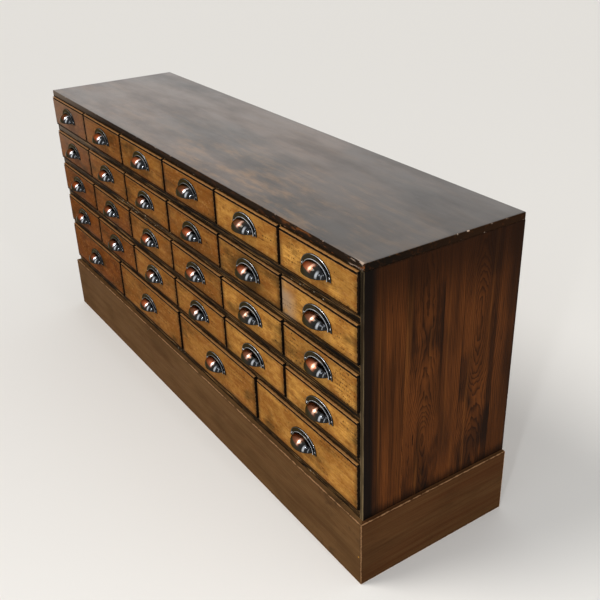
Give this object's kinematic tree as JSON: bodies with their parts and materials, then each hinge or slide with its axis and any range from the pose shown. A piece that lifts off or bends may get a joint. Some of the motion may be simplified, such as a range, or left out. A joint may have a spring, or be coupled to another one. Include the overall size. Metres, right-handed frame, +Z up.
{
  "type": "apothecary chest of drawers",
  "caption": "Long low wooden apothecary chest: rows of small sliding drawers over a row of wider ones, each with a metal cup pull, on a plain plinth.",
  "frame": {"origin": "on the floor, under the middle of the whole chest", "axes": "+X along the chest's length to the right, +Y from the drawer fronts to the back, +Z up"},
  "size_m": [1.87, 0.5016, 0.862],
  "materials": {
    "drawer_pine": "worn honey pine, waxed and stained, fine straight grain",
    "pull_copper": "darkened copper, polished by hands",
    "top_wood": "brown, semi-gloss, scratched",
    "case_wood": "dark red-brown stained pine, satin",
    "rail_wood": "dark brown, dull, dusty",
    "plinth_wood": "mid-brown paint, satin, rubbed edges"
  },
  "bodies": {
    "case": {"top_board": "top_wood", "case_boards": "case_wood", "divider_grid": "rail_wood", "plinth_frame": "plinth_wood"},
    "drawer_1_1_body": {"drawer_1_1": "drawer_pine", "cup_pull_1_1": "pull_copper"},
    "drawer_1_2_body": {"drawer_1_2": "drawer_pine", "cup_pull_1_2": "pull_copper"},
    "drawer_1_3_body": {"drawer_1_3": "drawer_pine", "cup_pull_1_3": "pull_copper"},
    "drawer_1_4_body": {"drawer_1_4": "drawer_pine", "cup_pull_1_4": "pull_copper"},
    "drawer_1_5_body": {"drawer_1_5": "drawer_pine", "cup_pull_1_5": "pull_copper"},
    "drawer_1_6_body": {"drawer_1_6": "drawer_pine", "cup_pull_1_6": "pull_copper"},
    "drawer_2_1_body": {"drawer_2_1": "drawer_pine", "cup_pull_2_1": "pull_copper"},
    "drawer_2_2_body": {"drawer_2_2": "drawer_pine", "cup_pull_2_2": "pull_copper"},
    "drawer_2_3_body": {"drawer_2_3": "drawer_pine", "cup_pull_2_3": "pull_copper"},
    "drawer_2_4_body": {"drawer_2_4": "drawer_pine", "cup_pull_2_4": "pull_copper"},
    "drawer_2_5_body": {"drawer_2_5": "drawer_pine", "cup_pull_2_5": "pull_copper"},
    "drawer_2_6_body": {"drawer_2_6": "drawer_pine", "cup_pull_2_6": "pull_copper"},
    "drawer_3_1_body": {"drawer_3_1": "drawer_pine", "cup_pull_3_1": "pull_copper"},
    "drawer_3_2_body": {"drawer_3_2": "drawer_pine", "cup_pull_3_2": "pull_copper"},
    "drawer_3_3_body": {"drawer_3_3": "drawer_pine", "cup_pull_3_3": "pull_copper"},
    "drawer_3_4_body": {"drawer_3_4": "drawer_pine", "cup_pull_3_4": "pull_copper"},
    "drawer_3_5_body": {"drawer_3_5": "drawer_pine", "cup_pull_3_5": "pull_copper"},
    "drawer_3_6_body": {"drawer_3_6": "drawer_pine", "cup_pull_3_6": "pull_copper"},
    "drawer_4_1_body": {"drawer_4_1": "drawer_pine", "cup_pull_4_1": "pull_copper"},
    "drawer_4_2_body": {"drawer_4_2": "drawer_pine", "cup_pull_4_2": "pull_copper"},
    "drawer_4_3_body": {"drawer_4_3": "drawer_pine", "cup_pull_4_3": "pull_copper"},
    "drawer_4_4_body": {"drawer_4_4": "drawer_pine", "cup_pull_4_4": "pull_copper"},
    "drawer_4_5_body": {"drawer_4_5": "drawer_pine", "cup_pull_4_5": "pull_copper"},
    "drawer_4_6_body": {"drawer_4_6": "drawer_pine", "cup_pull_4_6": "pull_copper"},
    "drawer_5_1_body": {"drawer_5_1": "drawer_pine", "cup_pull_5_1": "pull_copper"},
    "drawer_5_2_body": {"drawer_5_2": "drawer_pine", "cup_pull_5_2": "pull_copper"},
    "drawer_5_3_body": {"drawer_5_3": "drawer_pine", "cup_pull_5_3": "pull_copper"},
    "drawer_5_4_body": {"drawer_5_4": "drawer_pine", "cup_pull_5_4": "pull_copper"}
  },
  "joints": [
    {"name": "drawer_1_1_slide", "type": "slide", "parent": "case", "child": "drawer_1_1_body", "axis": [0, -1, 0], "range_m": [0, 0.34]},
    {"name": "drawer_1_2_slide", "type": "slide", "parent": "case", "child": "drawer_1_2_body", "axis": [0, -1, 0], "range_m": [0, 0.34]},
    {"name": "drawer_1_3_slide", "type": "slide", "parent": "case", "child": "drawer_1_3_body", "axis": [0, -1, 0], "range_m": [0, 0.34]},
    {"name": "drawer_1_4_slide", "type": "slide", "parent": "case", "child": "drawer_1_4_body", "axis": [0, -1, 0], "range_m": [0, 0.34]},
    {"name": "drawer_1_5_slide", "type": "slide", "parent": "case", "child": "drawer_1_5_body", "axis": [0, -1, 0], "range_m": [0, 0.34]},
    {"name": "drawer_1_6_slide", "type": "slide", "parent": "case", "child": "drawer_1_6_body", "axis": [0, -1, 0], "range_m": [0, 0.34]},
    {"name": "drawer_2_1_slide", "type": "slide", "parent": "case", "child": "drawer_2_1_body", "axis": [0, -1, 0], "range_m": [0, 0.34]},
    {"name": "drawer_2_2_slide", "type": "slide", "parent": "case", "child": "drawer_2_2_body", "axis": [0, -1, 0], "range_m": [0, 0.34]},
    {"name": "drawer_2_3_slide", "type": "slide", "parent": "case", "child": "drawer_2_3_body", "axis": [0, -1, 0], "range_m": [0, 0.34]},
    {"name": "drawer_2_4_slide", "type": "slide", "parent": "case", "child": "drawer_2_4_body", "axis": [0, -1, 0], "range_m": [0, 0.34]},
    {"name": "drawer_2_5_slide", "type": "slide", "parent": "case", "child": "drawer_2_5_body", "axis": [0, -1, 0], "range_m": [0, 0.34]},
    {"name": "drawer_2_6_slide", "type": "slide", "parent": "case", "child": "drawer_2_6_body", "axis": [0, -1, 0], "range_m": [0, 0.34]},
    {"name": "drawer_3_1_slide", "type": "slide", "parent": "case", "child": "drawer_3_1_body", "axis": [0, -1, 0], "range_m": [0, 0.34]},
    {"name": "drawer_3_2_slide", "type": "slide", "parent": "case", "child": "drawer_3_2_body", "axis": [0, -1, 0], "range_m": [0, 0.34]},
    {"name": "drawer_3_3_slide", "type": "slide", "parent": "case", "child": "drawer_3_3_body", "axis": [0, -1, 0], "range_m": [0, 0.34]},
    {"name": "drawer_3_4_slide", "type": "slide", "parent": "case", "child": "drawer_3_4_body", "axis": [0, -1, 0], "range_m": [0, 0.34]},
    {"name": "drawer_3_5_slide", "type": "slide", "parent": "case", "child": "drawer_3_5_body", "axis": [0, -1, 0], "range_m": [0, 0.34]},
    {"name": "drawer_3_6_slide", "type": "slide", "parent": "case", "child": "drawer_3_6_body", "axis": [0, -1, 0], "range_m": [0, 0.34]},
    {"name": "drawer_4_1_slide", "type": "slide", "parent": "case", "child": "drawer_4_1_body", "axis": [0, -1, 0], "range_m": [0, 0.34]},
    {"name": "drawer_4_2_slide", "type": "slide", "parent": "case", "child": "drawer_4_2_body", "axis": [0, -1, 0], "range_m": [0, 0.34]},
    {"name": "drawer_4_3_slide", "type": "slide", "parent": "case", "child": "drawer_4_3_body", "axis": [0, -1, 0], "range_m": [0, 0.34]},
    {"name": "drawer_4_4_slide", "type": "slide", "parent": "case", "child": "drawer_4_4_body", "axis": [0, -1, 0], "range_m": [0, 0.34]},
    {"name": "drawer_4_5_slide", "type": "slide", "parent": "case", "child": "drawer_4_5_body", "axis": [0, -1, 0], "range_m": [0, 0.34]},
    {"name": "drawer_4_6_slide", "type": "slide", "parent": "case", "child": "drawer_4_6_body", "axis": [0, -1, 0], "range_m": [0, 0.34]},
    {"name": "drawer_5_1_slide", "type": "slide", "parent": "case", "child": "drawer_5_1_body", "axis": [0, -1, 0], "range_m": [0, 0.34]},
    {"name": "drawer_5_2_slide", "type": "slide", "parent": "case", "child": "drawer_5_2_body", "axis": [0, -1, 0], "range_m": [0, 0.34]},
    {"name": "drawer_5_3_slide", "type": "slide", "parent": "case", "child": "drawer_5_3_body", "axis": [0, -1, 0], "range_m": [0, 0.34]},
    {"name": "drawer_5_4_slide", "type": "slide", "parent": "case", "child": "drawer_5_4_body", "axis": [0, -1, 0], "range_m": [0, 0.34]}
  ]
}
